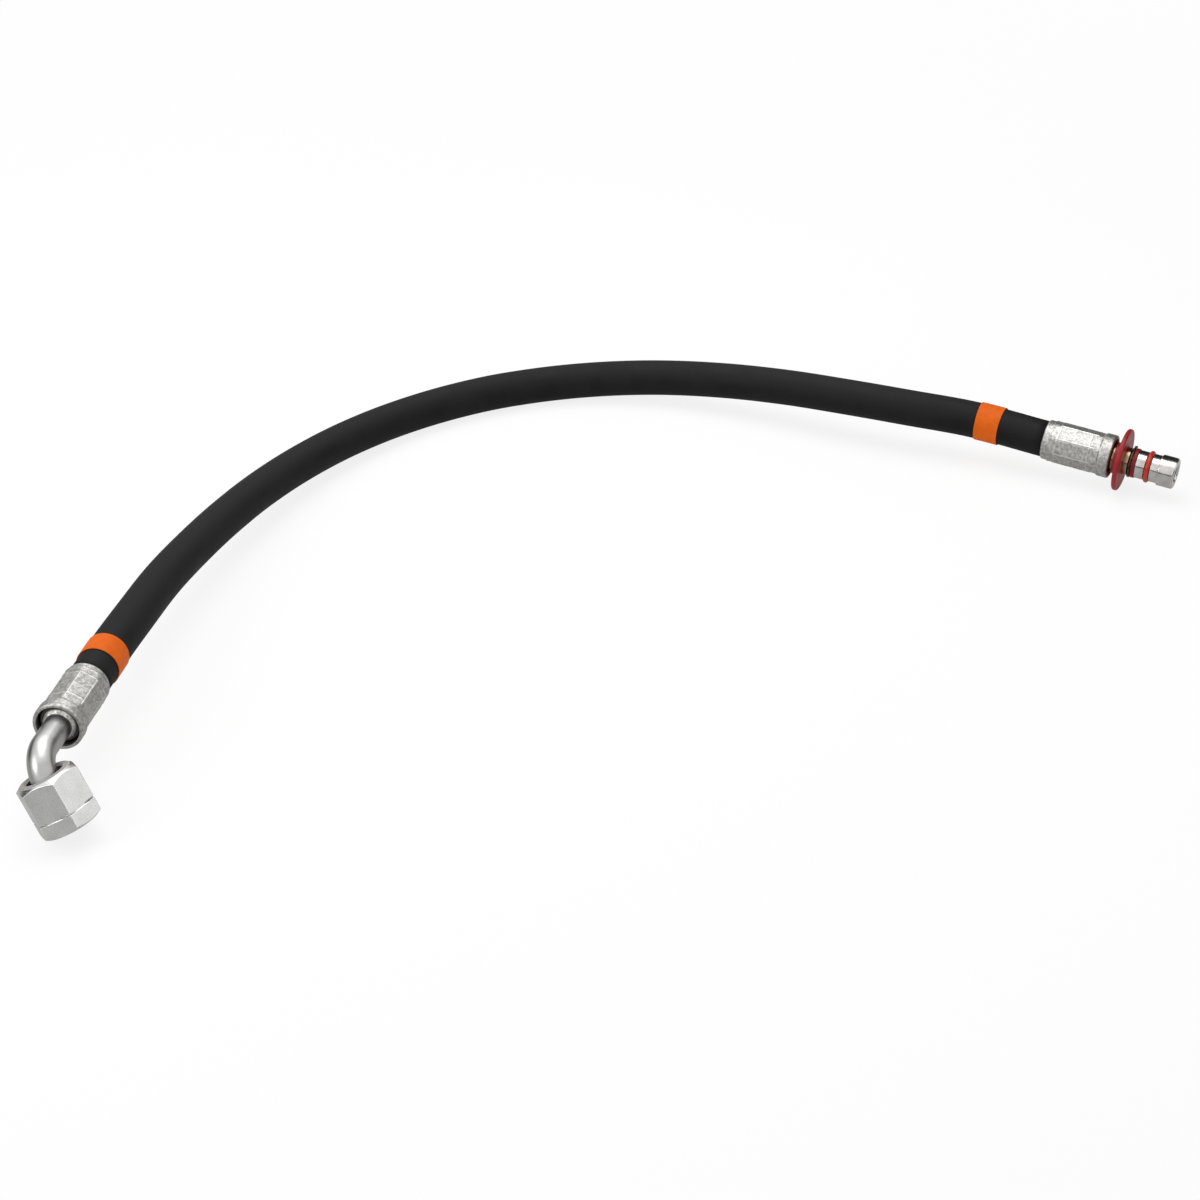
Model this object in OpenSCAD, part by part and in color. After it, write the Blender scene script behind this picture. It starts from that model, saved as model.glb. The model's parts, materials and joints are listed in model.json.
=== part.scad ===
// Two-wire hydraulic hose with a swept elbow and swivel nut at one end
// and a push-in plug with a release disc at the other. Millimetres, +Z up.
// The hose lies on its side of the floor plane z = 0. Each end fitting is
// modelled along its own axis, t, which runs out of the hose from the
// ferrule's hose-side face (t = 0), and is then set on the end of the route.

/* [Hose] */
// Outside diameter of the hose cover
hose_od = 22.2; // [21.6:0.1:22.8]
// Bore of the hose liner
hose_bore = 12.7; // [12.5:0.1:13.1]
// Wall of the rubber liner
liner_wall = 1.7; // [1.6:0.1:1.8]
// Thickness of each wire braid
braid_wall = 0.9; // [0.8:0.1:1.0]

/* [Colour bands] */
// Length of each colour band along the hose
band_len = 15; // [8:1:16]
// Wall of the band
band_wall = 0.5; // [0.3:0.1:1]
// Room between the hose cover and the band
band_clear = 0.15; // [0.05:0.05:0.3]
// Bare hose between the elbow's ferrule and its band
elbow_band_gap = 14.5; // [8:0.5:18]
// Bare hose between the plug's ferrule and its band
plug_band_gap = 28; // [10:1:30]

/* [Ferrules] */
// Length of a ferrule
ferrule_len = 42.5; // [40:0.5:50]
// Outside diameter of the collar on the hose side
ferrule_collar_d = 24.2; // [23.8:0.1:25]
// Outside diameter of the ferrule's open mouth
ferrule_mouth_d = 26.5; // [25.8:0.1:28]
// Distance across two opposite crimped flats
crimp_af = 24; // [23.8:0.1:24.6]
// Diameter over the rounded corners between the flats
crimp_corner_d = 25.1; // [24.8:0.1:26]
// Number of crimping jaws, each of which leaves one flat
jaws = 8; // [6:1:10]
// Width of the ridge squeezed up between two jaws
ridge_w = 0.9; // [0.5:0.1:1.5]
// Height of the ridge over the rounded corner
ridge_h = 0.3; // [0.2:0.1:0.5]
// Length of the round collar on the hose side
collar_len = 4; // [3:0.5:6]
// Length of the crimped flats
crimp_len = 31; // [26:1:34]
// Turn of the crimped flats about the elbow's ferrule
elbow_crimp_turn = 12; // [0:1:44]
// Turn of the crimped flats about the plug's ferrule
plug_crimp_turn = 8; // [0:1:44]
// Depth that the crimp presses the hose cover in, on the radius
crimp_squeeze = 0.5; // [0.3:0.1:0.6]
// Number of gripping ribs inside a ferrule
rib_count = 5; // [3:1:5]
// Height of a gripping rib
rib_h = 0.35; // [0.2:0.05:0.4]
// Bore of the mouth's recess
mouth_bore = 22.8; // [22:0.1:23.4]
// Depth of the mouth's recess
mouth_depth = 6.4; // [5:0.1:8]
// Thickness of the inner lip that locks in the tail's groove
lip_t = 3.2; // [2.5:0.1:4]

/* [Barbed tails] */
// Bore that the oil runs through
flow_bore = 9.8; // [8.5:0.1:10]
// Diameter between the barbs
tail_root_d = 12.4; // [12.2:0.1:12.6]
// Diameter over the barbs
tail_crest_d = 13.8; // [13.2:0.1:14]
// Number of barbs
barb_count = 4; // [2:1:4]
// Length of a barb's ramp
barb_ramp = 5; // [3:0.1:5.4]
// Diameter of the groove that the ferrule's lip locks in
lock_groove_d = 15.8; // [15:0.1:16.4]
// Diameter of the shoulder that the hose stops at
stop_d = 18.6; // [17.4:0.1:19.5]
// Thickness of that shoulder
stop_t = 1.4; // [1.2:0.1:1.6]
// Diameter of the collar seen in the ferrule's mouth
tail_collar_d = 20.4; // [19:0.1:21.5]
// Thickness of that collar
tail_collar_t = 2.6; // [2:0.1:3]

/* [Elbow] */
// Outside diameter of the bent tube
tube_od = 14; // [13:0.1:14.4]
// Wall of the bent tube
tube_wall = 2; // [1.5:0.1:2.5]
// Radius of the bend at the middle of the tube
bend_r = 16; // [15:0.5:22]
// Straight tube between the ferrule's mouth and the bend
tube_straight = 17; // [12:0.5:26]
// Straight tube past the bend, inside the nut
tube_tail = 8; // [6.5:0.5:9]
// Turn of the elbow about the hose, away from straight down
elbow_roll = 28.5; // [0:0.5:30]
// Outer diameter of the brazing ring round the tube
braze_d = 17.8; // [15.4:0.1:18]
// Length of the brazing ring
braze_len = 2.2; // [1:0.1:3]

/* [Swivel nut] */
// Size across the nut's flats
nut_af = 30; // [29:0.5:32]
// Length of the nut
nut_len = 29; // [27:0.5:30]
// Hole in the nut's back, round the tube
nut_hole_d = 19.6; // [19.4:0.1:20.4]
// Thickness of the nut's back wall
nut_back_t = 5; // [3:0.5:6]
// Diameter of the plain chamber behind the thread
nut_chamber_d = 25.6; // [24.6:0.1:26]
// Minor diameter of the nut's thread
thread_d = 23.4; // [23.3:0.1:24.2]
// Length of the thread
thread_len = 9; // [8:0.1:10.8]
// How far the loose nut is pushed back over the bend
nut_pushed_back = 8; // [4:0.5:8]
// Turn of the loose nut about its own axis
nut_turn = 19; // [0:1:59]
// Lean of the loose nut, away from the hose
nut_lean = 8; // [0:0.5:8]
// Diameter of the round face that the front chamfer leaves
nut_face_d = 28.2; // [27:0.1:29]
// Diameter of the flat ring left on the nut's back
nut_back_d = 26; // [24:0.5:28]
// Slope of the cone round that ring
nut_back_slope = 35; // [25:1:40]
// Distance from the nut's back to the marking groove
nut_groove_at = 19.5; // [10:0.5:22]
// Width of the marking groove
nut_groove_w = 1.1; // [0.5:0.1:2]
// Depth of the marking groove below the flats
nut_groove_depth = 0.5; // [0.3:0.1:1]

/* [Swivel head] */
// Diameter of the flat sealing flange
head_flange_d = 22.8; // [22:0.1:22.8]
// Thickness of the flange
head_flange_t = 5; // [3:0.5:5]
// Outside diameter of the sleeve brazed on the tube
head_sleeve_d = 18; // [17:0.1:19]
// Length of tube left bare between the bend and the sleeve
head_start = 1; // [0.5:0.5:2]
// Length of the sleeve behind the flange
head_sleeve_len = 4; // [3:0.5:5]
// Depth of solder room left between tube and sleeve
braze_clear = 0.05; // [0.02:0.01:0.1]

/* [Plug] */
// Diameter of the neck that the release disc slides on
neck_d = 16.6; // [16:0.1:17]
// Length of the neck outside the ferrule
neck_len = 10.4; // [10:0.1:12]
// Diameter of the bands before and behind the seal
land_d = 17.1; // [16.8:0.1:17.6]
// Length of the band behind the seal
back_land_len = 5.3; // [4:0.1:7]
// Length of the band before the seal
front_land_len = 4.7; // [3:0.1:6]
// Diameter of the spigot's tip
tip_d = 19; // [18.2:0.1:19]
// Length of the spigot's tip
tip_len = 10; // [8:0.1:12]
// Chamfer on the spigot's edges
tip_chamfer = 0.8; // [0.3:0.1:1.2]
// Diameter at the bottom of the snap ring's groove
clip_groove_d = 14.6; // [14:0.1:15]

/* [Rings] */
// Wire diameter of the snap ring
wire_d = 1.8; // [1.4:0.1:2]
// Outside diameter of the snap ring
snap_ring_d = 18.8; // [18.5:0.1:19.2]
// Opening in the snap ring
snap_gap_deg = 36; // [20:2:60]
// Where that opening sits round the plug, from the underside
snap_gap_at = 127; // [0:1:359]
// Reach of the snap ring's turned-out ends
snap_end = 1.6; // [0.8:0.1:2]
// Outside diameter of the stop ring
stop_ring_d = 18; // [17.4:0.1:18.4]
// Thickness of the stop ring
stop_ring_t = 2.1; // [1.5:0.1:2.4]
// Thickness of the seal ring's section
seal_section = 2.9; // [2.6:0.1:3]
// Outside diameter of the seal ring
seal_d = 19.6; // [19.2:0.1:19.8]
// Play beside each ring in its groove
ring_play = 0.35; // [0.3:0.05:0.5]

/* [Release disc] */
// Diameter of the release disc
disc_d = 38; // [34:0.5:38]
// Thickness of the release disc
disc_t = 3; // [2:0.1:3.4]
// Clearance of the release disc on the neck, on the radius
disc_clear = 0.25; // [0.2:0.05:0.4]
// Distance from the ferrule's mouth to the disc's flat
disc_at = 4.5; // [4:0.1:5]
// Outside diameter of the disc's hub
hub_d = 19.2; // [18.8:0.1:20.4]
// Length of the disc's hub
hub_len = 3.2; // [2:0.1:3.6]

/* [Hidden] */
$fn = 96;

// The free hose, from the elbow's ferrule to the plug's. It comes down from
// the raised elbow, lies on the floor on its cover, and rises to the plug,
// which the release disc holds up.
route = [
    [-292.4, -107.5, 38.52], [-285.6, -72.1, 38.12], [-278.8, -37.7, 36.4], [-270.8, 3.9, 33.2],
    [-260.1, 46.8, 28.9], [-247.5, 89.4, 24.3], [-231.9, 131.3, 20], [-212.2, 170.9, 16.4],
    [-187.4, 208.2, 13.5], [-157.5, 240.1, 11.7], [-122.5, 265.5, 11.1], [-83.5, 283.5, 11.1],
    [-41.5, 292.1, 12.3], [1.3, 290, 15.2], [43.7, 278.1, 19.2], [84.7, 260.1, 23.2],
    [122, 241, 25.9], [159.9, 223.7, 26.9], [197.6, 210.5, 25.63], [239.2, 191.1, 22.38]
];
route_sides = 12;

// Radii of the hose's layers, the same in the free hose and in its ends
liner_r = hose_bore / 2 + liner_wall;
inner_braid_r = liner_r + braid_wall;
outer_braid_r = inner_braid_r + braid_wall;
cover_r = hose_od / 2;

// Ferrule stations along t, and radii
crimped_r = cover_r - crimp_squeeze;
ferrule_bore_r = cover_r + 0.2;
lip_end = ferrule_len - mouth_depth;
lip_start = lip_end - lip_t;
lip_r = lock_groove_d / 2 + 0.1;
squeeze_start = 2.5;
squeeze_end = 4.5;
crimp_end = collar_len + crimp_len;
edge_round = 1.2;
round_step = 22.5;

// Tail stations along t. The hose stops just short of the tail's shoulder,
// and the ribs and barbs share out the length of hose in the ferrule.
tail_tip = 2.5;
lip_gap = 0.3;
hose_play = 0.2;
hose_insert = lip_start - lip_gap - stop_t - hose_play;
first_rib = 6.2;
past_ribs = 1.8;
rib_pitch = (hose_insert - first_rib - past_ribs) / rib_count;
first_barb = 4;
past_barbs = 1.4;
barb_pitch = (hose_insert - first_barb - past_barbs) / barb_count;
collar_start = lip_end + lip_gap;
tail_front = collar_start + tail_collar_t;
tube_seat = tail_front - 2.2;

// Elbow stations along t, and along n, which runs down the nut's axis from the bend's end
bend_start = ferrule_len + tube_straight;
nut_axis_t = bend_start + bend_r;
flange_back = head_start + head_sleeve_len;
flange_front = flange_back + head_flange_t;
nut_back = -nut_pushed_back;
nut_front = nut_back + nut_len;
thread_start = nut_front - thread_len;
nut_corner_r = nut_af / 2 / cos(30);
nut_chamfer = 30;
lean_at = (flange_back + flange_front) / 2;
thread_lead = 0.8;
hole_lead = 0.8;

// Plug stations along t
plug_start = ferrule_len;
clip_start = plug_start + neck_len;
clip_w = wire_d + stop_ring_t + 3 * ring_play;
clip_end = clip_start + clip_w;
seal_start = clip_end + back_land_len;
seal_w = seal_section + 2 * ring_play;
seal_end = seal_start + seal_w;
tip_start = seal_end + front_land_len;
plug_end = tip_start + tip_len;
seal_groove_r = seal_d / 2 - seal_section - 0.05;
wire_mid_r = (snap_ring_d - wire_d) / 2;
wire_mid_t = clip_start + ring_play + wire_d / 2;
stop_ring_start = clip_end - ring_play - stop_ring_t;

function unit(v) = v / norm(v);
function last(list) = list[len(list) - 1];

// Direction of the route at one of its points
function heading(i) =
    i == 0 ? unit(route[1] - route[0]) :
    i == len(route) - 1 ? unit(route[i] - route[i - 1]) :
    unit(unit(route[i + 1] - route[i]) + unit(route[i] - route[i - 1]));

// A ring of points round the route, square to its direction
function route_ring(i, r) =
    let (side = unit(cross(heading(i), [0, 0, 1])), up = cross(side, heading(i)))
    [for (k = [0 : route_sides - 1])
        let (a = 360 * k / route_sides)
        route[i] + r * (cos(a) * side + sin(a) * up)];

// Two triangles for each side between two rings that start at points a and b
function band_faces(a, b) =
    [for (k = [0 : route_sides - 1])
        let (k2 = (k + 1) % route_sides)
        each [[a + k, b + k, b + k2], [a + k, b + k2, a + k2]]];

function flipped(faces) = [for (f = faces) [f[0], f[2], f[1]]];

// One layer of the free hose: an open-ended tube swept along the route
module route_layer(r_in, r_out) {
    rings = len(route);
    inner_start = rings * route_sides;
    points = concat(
        [for (i = [0 : rings - 1]) each route_ring(i, r_out)],
        [for (i = [0 : rings - 1]) each route_ring(i, r_in)]);
    outer = [for (i = [0 : rings - 2]) each band_faces(i * route_sides, (i + 1) * route_sides)];
    inner = [for (i = [0 : rings - 2])
        each band_faces(inner_start + i * route_sides, inner_start + (i + 1) * route_sides)];
    first_end = band_faces(inner_start, 0);
    last_end = band_faces((rings - 1) * route_sides, inner_start + (rings - 1) * route_sides);
    polyhedron(points, concat(outer, flipped(inner), first_end, last_end));
}

// Turn +Z to the direction d and move the origin to p
module along(p, d) {
    translate(p) rotate([0, acos(d[2]), atan2(d[1], d[0])]) children();
}

module at_elbow() {
    along(route[0], -heading(0)) rotate([0, 0, elbow_roll]) children();
}

module at_plug() {
    along(last(route), heading(len(route) - 1)) children();
}

// The swivel head's axis: +Z runs down it from the end of the bend
module at_nut() {
    at_elbow() translate([bend_r, 0, nut_axis_t]) rotate([0, 90, 0]) children();
}

// The loose nut's axis, which leans about the middle of the flange
module at_loose_nut() {
    at_nut() translate([0, 0, lean_at]) rotate([0, -nut_lean, 0])
        translate([0, 0, -lean_at]) children();
}

// Both ends of the hose are crimped alike
module at_both_ends() {
    at_elbow() children();
    at_plug() children();
}

module turned(outline) {
    rotate_extrude() polygon(outline);
}

// A plain ring along t
module ring(r_in, r_out, t0, t1) {
    turned([[r_in, t0], [r_out, t0], [r_out, t1], [r_in, t1]]);
}

// Ribs that bite into the cover: outline points from the hose side on
rib_line = [for (i = [0 : rib_count - 1])
    let (t = first_rib + i * rib_pitch)
    each [[crimped_r, t], [crimped_r - rib_h, t + 0.7],
          [crimped_r - rib_h, t + 1.5], [crimped_r, t + 2.2]]];

// Barbs that hold the liner: a long ramp, then a sharp step back
barb_line = [for (i = [0 : barb_count - 1])
    let (t = first_barb + i * barb_pitch)
    each [[tail_root_d / 2, t], [tail_crest_d / 2, t + barb_ramp],
          [tail_root_d / 2, t + barb_ramp]]];

module cover_end() {
    turned(concat(
        [[outer_braid_r, 0], [cover_r, 0], [cover_r, squeeze_start - 0.5], [crimped_r, squeeze_end]],
        rib_line,
        [[crimped_r, hose_insert], [outer_braid_r, hose_insert]]));
}

module liner_end() {
    turned(concat(
        [[liner_r, 0], [hose_bore / 2, 0], [hose_bore / 2, tail_tip], [tail_root_d / 2, first_barb - 0.5]],
        barb_line,
        [[tail_root_d / 2, hose_insert], [liner_r, hose_insert]]));
}

// Flats with rounded corners, and a thin ridge at each corner
module crimp_section() {
    intersection() {
        circle(d = crimp_corner_d);
        circle(r = crimp_af / 2 / cos(180 / jaws), $fn = jaws);
    }
    intersection() {
        circle(r = crimp_corner_d / 2 + ridge_h);
        for (i = [0 : jaws - 1])
            rotate(i * 360 / jaws)
                translate([crimp_af / 2 - 1, -ridge_w / 2])
                    square([crimp_corner_d / 2, ridge_w]);
    }
}

// Rounded outline points from angle a0 to a1 about a centre
function rounded(c, r, a0, a1) =
    [for (a = [a0 : round_step : a1]) c + r * [cos(a), sin(a)]];

module ferrule_outside() {
    collar_r = ferrule_collar_d / 2;
    mouth_r = ferrule_mouth_d / 2;
    // hose-side collar with a rounded edge
    turned(concat(
        [[0, 0]],
        rounded([collar_r - edge_round, edge_round], edge_round, -90, 0),
        [[collar_r, collar_len], [collar_r - 0.6, collar_len + 0.6], [0, collar_len + 0.6]]));
    // crimped length
    translate([0, 0, collar_len]) linear_extrude(crimp_len) crimp_section();
    // mouth that the jaws left open
    turned(concat(
        [[0, crimp_end - 1.6], [crimp_af / 2 - 0.4, crimp_end - 1.6], [mouth_r - 0.3, crimp_end + 1.2]],
        rounded([mouth_r - edge_round, ferrule_len - edge_round], edge_round, 0, 90),
        [[0, ferrule_len]]));
}

module ferrule(crimp_turn) {
    difference() {
        rotate(crimp_turn) ferrule_outside();
        turned(concat(
            [[0, -1], [ferrule_bore_r, -1], [ferrule_bore_r, squeeze_start], [crimped_r, squeeze_end]],
            rib_line,
            [[crimped_r, lip_start], [lip_r, lip_start], [lip_r, lip_end],
             [mouth_bore / 2, lip_end], [mouth_bore / 2, ferrule_len - 0.4],
             [mouth_bore / 2 + 0.5, ferrule_len + 0.1], [0, ferrule_len + 0.1]]));
    }
}

// Outline of a tail from its tip to the front of its collar, outside only
tail_line = concat(
    [[flow_bore / 2, tail_tip], [tail_root_d / 2 - 0.6, tail_tip], [tail_root_d / 2, first_barb - 0.5]],
    barb_line,
    [[tail_root_d / 2, hose_insert + hose_play], [stop_d / 2, hose_insert + hose_play],
     [stop_d / 2, lip_start - lip_gap], [lock_groove_d / 2, lip_start - lip_gap],
     [lock_groove_d / 2, collar_start], [tail_collar_d / 2 - 0.4, collar_start],
     [tail_collar_d / 2, collar_start + 0.4], [tail_collar_d / 2, tail_front - 0.4],
     [tail_collar_d / 2 - 0.4, tail_front]]);

module hose_cover() {
    color([0.13, 0.13, 0.14]) route_layer(outer_braid_r, cover_r);
}

module outer_braid() {
    color([0.62, 0.58, 0.45]) route_layer(inner_braid_r, outer_braid_r);
}

module inner_braid() {
    color([0.66, 0.62, 0.5]) route_layer(liner_r, inner_braid_r);
}

module hose_liner() {
    color([0.08, 0.08, 0.08]) route_layer(hose_bore / 2, liner_r);
}

module cover_ends() {
    color([0.13, 0.13, 0.14]) at_both_ends() cover_end();
}

module outer_braid_ends() {
    color([0.62, 0.58, 0.45]) at_both_ends() ring(inner_braid_r, outer_braid_r, 0, hose_insert);
}

module inner_braid_ends() {
    color([0.66, 0.62, 0.5]) at_both_ends() ring(liner_r, inner_braid_r, 0, hose_insert);
}

module liner_ends() {
    color([0.08, 0.08, 0.08]) at_both_ends() liner_end();
}

module colour_band(gap) {
    ring(cover_r + band_clear, cover_r + band_clear + band_wall, -gap - band_len, -gap);
}

module elbow_band() {
    color([0.93, 0.4, 0.11]) at_elbow() colour_band(elbow_band_gap);
}

module plug_band() {
    color([0.93, 0.4, 0.11]) at_plug() colour_band(plug_band_gap);
}

module elbow_ferrule() {
    color([0.62, 0.62, 0.6]) at_elbow() ferrule(elbow_crimp_turn);
}

module plug_ferrule() {
    color([0.62, 0.62, 0.6]) at_plug() ferrule(plug_crimp_turn);
}

// Barbed insert with a socket that the tube is brazed into
module elbow_tail() {
    color([0.42, 0.42, 0.42]) at_elbow()
        turned(concat(tail_line,
            [[tube_od / 2 + braze_clear, tail_front], [tube_od / 2 + braze_clear, tube_seat],
             [flow_bore / 2, tube_seat]]));
}

// Fillet of braze round the tube, on the front of the collar
module braze_ring() {
    color([0.8, 0.79, 0.76]) at_elbow()
        turned([[tube_od / 2 + braze_clear, tail_front], [braze_d / 2, tail_front],
                [braze_d / 2, tail_front + 0.3 * braze_len],
                [(tube_od + braze_d) / 4 + 0.1, tail_front + 0.6 * braze_len],
                [tube_od / 2 + braze_clear, tail_front + braze_len]]);
}

// The tube's whole path for a rod of radius r
module tube_path(r) {
    translate([0, 0, tube_seat]) cylinder(r = r, h = bend_start - tube_seat);
    translate([bend_r, 0, bend_start]) rotate([90, 0, 0]) rotate([0, 0, 90])
        rotate_extrude(angle = 90) translate([bend_r, 0]) circle(r = r);
    translate([bend_r, 0, nut_axis_t]) rotate([0, 90, 0]) cylinder(r = r, h = tube_tail);
}

module bent_tube() {
    color([0.85, 0.85, 0.84]) at_elbow() difference() {
        tube_path(tube_od / 2);
        tube_path(tube_od / 2 - tube_wall);
    }
}

// Flat-faced sleeve on the tube's end, which the nut pulls on
module swivel_head() {
    color([0.75, 0.75, 0.73]) at_nut()
        turned([[tube_od / 2 + braze_clear, head_start], [head_sleeve_d / 2, head_start],
                [head_sleeve_d / 2, flange_back], [head_flange_d / 2, flange_back],
                [head_flange_d / 2, flange_front - 0.4], [head_flange_d / 2 - 0.4, flange_front],
                [tube_od / 2 - tube_wall, flange_front], [tube_od / 2 - tube_wall, tube_tail + 0.1],
                [tube_od / 2 + braze_clear, tube_tail + 0.1]]);
}

module swivel_nut() {
    face_r = nut_face_d / 2;
    far_r = nut_corner_r + 1;
    front_h = (far_r - face_r) * tan(nut_chamfer);
    back_h = (far_r - nut_back_d / 2) * tan(nut_back_slope);
    color([0.78, 0.78, 0.76]) at_loose_nut() difference() {
        // hexagon, turned to a cone at both ends
        intersection() {
            translate([0, 0, nut_back]) rotate(nut_turn)
                cylinder(r = nut_corner_r, h = nut_len, $fn = 6);
            turned([[0, nut_back], [nut_back_d / 2, nut_back], [far_r, nut_back + back_h],
                    [far_r, nut_front - front_h], [face_r, nut_front], [0, nut_front]]);
        }
        // hole round the tube, chamber and thread
        turned([[0, nut_back - 1], [nut_hole_d / 2 + hole_lead, nut_back - 1],
                [nut_hole_d / 2 + hole_lead, nut_back], [nut_hole_d / 2, nut_back + hole_lead],
                [nut_hole_d / 2, nut_back + nut_back_t], [nut_chamber_d / 2, nut_back + nut_back_t],
                [nut_chamber_d / 2, thread_start], [thread_d / 2, thread_start],
                [thread_d / 2, nut_front - thread_lead],
                [thread_d / 2 + thread_lead, nut_front], [thread_d / 2 + thread_lead, nut_front + 1],
                [0, nut_front + 1]]);
        // turned marking groove
        ring(nut_af / 2 - nut_groove_depth, far_r + 1,
             nut_back + nut_groove_at, nut_back + nut_groove_at + nut_groove_w);
    }
}

// Barbed insert, neck, grooves and spigot, turned from one bar
module plug_body() {
    color([0.7, 0.68, 0.64]) at_plug()
        turned(concat(tail_line,
            [[neck_d / 2, tail_front], [neck_d / 2, clip_start],
             [clip_groove_d / 2, clip_start], [clip_groove_d / 2, clip_end],
             [land_d / 2, clip_end], [land_d / 2, seal_start],
             [seal_groove_r, seal_start], [seal_groove_r, seal_end],
             [land_d / 2, seal_end], [land_d / 2, tip_start],
             [tip_d / 2 - tip_chamfer / 2, tip_start], [tip_d / 2, tip_start + tip_chamfer / 2],
             [tip_d / 2, plug_end - tip_chamfer], [tip_d / 2 - tip_chamfer, plug_end],
             [flow_bore / 2 + tip_chamfer, plug_end], [flow_bore / 2, plug_end - tip_chamfer]]));
}

// Plastic disc that is pushed to let the snap ring go
module release_disc() {
    hole_r = neck_d / 2 + disc_clear;
    edge = disc_t / 2;
    flat_start = plug_start + disc_at;
    color([0.65, 0.16, 0.2]) at_plug()
        turned(concat(
            [[hole_r, flat_start - hub_len], [hub_d / 2, flat_start - hub_len], [hub_d / 2, flat_start]],
            rounded([disc_d / 2 - edge, flat_start + edge], edge, -90, 90),
            [[hole_r, flat_start + disc_t]]));
}

// Open wire ring with both ends turned outwards
module snap_ring() {
    sweep = 360 - snap_gap_deg;
    color([0.12, 0.1, 0.1]) at_plug() translate([0, 0, wire_mid_t]) rotate(snap_gap_at + snap_gap_deg / 2) {
        rotate_extrude(angle = sweep) translate([wire_mid_r, 0]) circle(d = wire_d);
        for (a = [0, sweep])
            rotate(a) translate([wire_mid_r, 0, 0]) rotate([0, 90, 0])
                cylinder(d = wire_d, h = snap_end);
    }
}

// Plain plastic ring beside the wire, against the groove's wall
module stop_ring() {
    color([0.45, 0.06, 0.07]) at_plug()
        ring(clip_groove_d / 2 + 0.05, stop_ring_d / 2, stop_ring_start, stop_ring_start + stop_ring_t);
}

module seal_ring() {
    color([0.8, 0.16, 0.09]) at_plug() translate([0, 0, (seal_start + seal_end) / 2])
        rotate_extrude() translate([(seal_d - seal_section) / 2, 0]) circle(d = seal_section);
}

hose_cover();
outer_braid();
inner_braid();
hose_liner();
cover_ends();
outer_braid_ends();
inner_braid_ends();
liner_ends();
elbow_band();
plug_band();
elbow_ferrule();
plug_ferrule();
elbow_tail();
braze_ring();
bent_tube();
swivel_head();
swivel_nut();
plug_body();
release_disc();
snap_ring();
stop_ring();
seal_ring();
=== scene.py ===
import json
from math import pi, radians

import bpy
import numpy as np
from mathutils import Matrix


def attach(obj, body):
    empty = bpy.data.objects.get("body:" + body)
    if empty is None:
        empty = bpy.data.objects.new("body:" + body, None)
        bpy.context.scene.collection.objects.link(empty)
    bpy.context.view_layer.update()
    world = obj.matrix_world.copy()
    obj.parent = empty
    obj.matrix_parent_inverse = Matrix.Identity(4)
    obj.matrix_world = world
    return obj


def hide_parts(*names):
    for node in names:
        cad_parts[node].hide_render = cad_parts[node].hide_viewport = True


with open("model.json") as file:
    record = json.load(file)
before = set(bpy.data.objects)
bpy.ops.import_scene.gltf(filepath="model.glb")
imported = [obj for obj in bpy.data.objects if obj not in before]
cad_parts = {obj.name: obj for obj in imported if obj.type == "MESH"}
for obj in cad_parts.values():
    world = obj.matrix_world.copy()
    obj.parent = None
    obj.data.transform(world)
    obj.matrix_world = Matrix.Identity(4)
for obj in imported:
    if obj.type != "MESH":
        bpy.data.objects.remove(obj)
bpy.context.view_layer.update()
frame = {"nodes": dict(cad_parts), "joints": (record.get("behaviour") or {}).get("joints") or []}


# Camera.
# A long lens in front of the floor, looking down at 31 degrees, so that the
# whole arc of the hose fits the square frame.
lens = bpy.data.cameras.new("camera")
lens.lens = 79.09
lens.sensor_width = 36
lens.clip_start = 0.05
camera = bpy.data.objects.new("camera", lens)
camera.location = (-0.032, -1.2345, 0.7646)
camera.rotation_euler = (radians(90 - 31), 0, 0)
bpy.context.scene.collection.objects.link(camera)
bpy.context.scene.camera = camera


# Hose.
# Four layers on one line: a rubber liner, two braids of brass-coated wire and
# a black rubber cover, cured together with a wrap that leaves its fine weave
# on the cover. It lies on the floor between its two crimped ends.
mm = 0.001
hose_od = 22.2 * mm
hose_bore = 12.7 * mm
liner_wall = 1.7 * mm
braid_wall = 0.9 * mm
route = mm * np.array([
    [-292.4, -107.5, 38.52], [-285.6, -72.1, 38.12], [-278.8, -37.7, 36.4], [-270.8, 3.9, 33.2],
    [-260.1, 46.8, 28.9], [-247.5, 89.4, 24.3], [-231.9, 131.3, 20], [-212.2, 170.9, 16.4],
    [-187.4, 208.2, 13.5], [-157.5, 240.1, 11.7], [-122.5, 265.5, 11.1], [-83.5, 283.5, 11.1],
    [-41.5, 292.1, 12.3], [1.3, 290, 15.2], [43.7, 278.1, 19.2], [84.7, 260.1, 23.2],
    [122, 241, 25.9], [159.9, 223.7, 26.9], [197.6, 210.5, 25.63], [239.2, 191.1, 22.38],
])


def size(v):
    """Length of each row of v."""
    return np.linalg.norm(v, axis=-1, keepdims=True)


def unit(v):
    """Each row of v, made one long."""
    return v / size(v)


def smooth_line(points, steps):
    """Cubic Hermite curve through the points, with so many steps from each to the next.

    It passes each point along the mean of the two chords' headings, and each
    end along its own chord.
    """
    chord = points[1:] - points[:-1]
    heading = unit(chord)
    tangent = np.concatenate([heading[:1], unit(heading[1:] + heading[:-1]), heading[-1:]])
    u = np.linspace(0, 1, steps, endpoint=False)[None, :, None]
    reach = size(chord)[:, None]
    curve = ((2 * u**3 - 3 * u**2 + 1) * points[:-1, None]
             + (u**3 - 2 * u**2 + u) * reach * tangent[:-1, None]
             + (3 * u**2 - 2 * u**3) * points[1:, None]
             + (u**3 - u**2) * reach * tangent[1:, None])
    return np.concatenate([curve.reshape(-1, 3), points[-1:]])


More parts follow.
